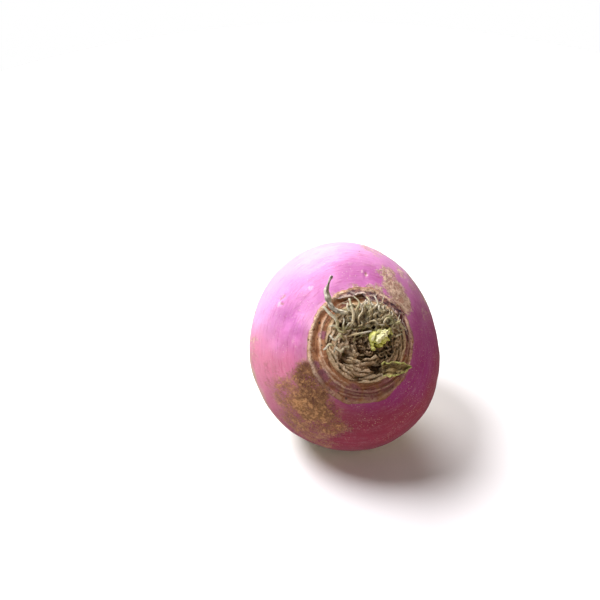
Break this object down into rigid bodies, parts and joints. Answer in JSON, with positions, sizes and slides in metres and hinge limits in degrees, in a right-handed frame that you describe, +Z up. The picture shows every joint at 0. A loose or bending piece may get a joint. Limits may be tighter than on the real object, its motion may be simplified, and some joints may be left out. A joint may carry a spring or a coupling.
{
  "type": "turnip",
  "caption": "Purple-topped turnip root lying on its side, with a trimmed taproot, a corky crown rim, dried leaf bases and strands, and a small heart of fresh leaflets.",
  "frame": {"origin": "middle of the small flat spot on the belly that the turnip rests on", "axes": "+Z up. The crown points to the front, -Y, and up at about 41 degrees, leaning 11 degrees to +X. The taproot points back and down, just clear of the surface."},
  "size_m": [0.0727, 0.0752, 0.0767],
  "materials": {
    "turnip_skin": "smooth waxy skin, purple on top and cream below, with brown corky patches",
    "dried_leaf_base": "dry, papery and ribbed, straw to brown",
    "dry_strand": "dry plant fibre, straw with a green tinge",
    "withered_leaf": "matt, crumpled, olive brown",
    "fresh_leaflet": "soft satin, yellow green"
  },
  "bodies": {
    "root": {"root": "turnip_skin", "leaf_base_01": "dried_leaf_base", "leaf_base_02": "dried_leaf_base", "leaf_base_03": "dried_leaf_base", "leaf_base_04": "dried_leaf_base", "leaf_base_05": "dried_leaf_base", "leaf_base_06": "dried_leaf_base", "leaf_base_07": "dried_leaf_base", "leaf_base_08": "dried_leaf_base", "leaf_base_09": "dried_leaf_base", "leaf_base_10": "dried_leaf_base", "leaf_base_11": "dried_leaf_base", "leaf_base_12": "dried_leaf_base", "leaf_base_13": "dried_leaf_base", "leaf_base_14": "dried_leaf_base", "leaf_base_15": "dried_leaf_base", "leaf_base_16": "dried_leaf_base", "dry_strand_01": "dry_strand", "dry_strand_02": "dry_strand", "dry_strand_03": "dry_strand", "dry_strand_04": "dry_strand", "dry_strand_05": "dry_strand", "dry_strand_06": "dry_strand", "dry_strand_07": "dry_strand", "dry_strand_08": "dry_strand", "dry_strand_09": "dry_strand", "dry_strand_10": "dry_strand", "dried_stalk": "dry_strand", "withered_leaf": "withered_leaf", "heart_leaflet_1": "fresh_leaflet", "heart_leaflet_2": "fresh_leaflet", "heart_leaflet_3": "fresh_leaflet", "heart_leaflet_4": "fresh_leaflet", "heart_leaflet_5": "fresh_leaflet"}
  },
  "joints": []
}
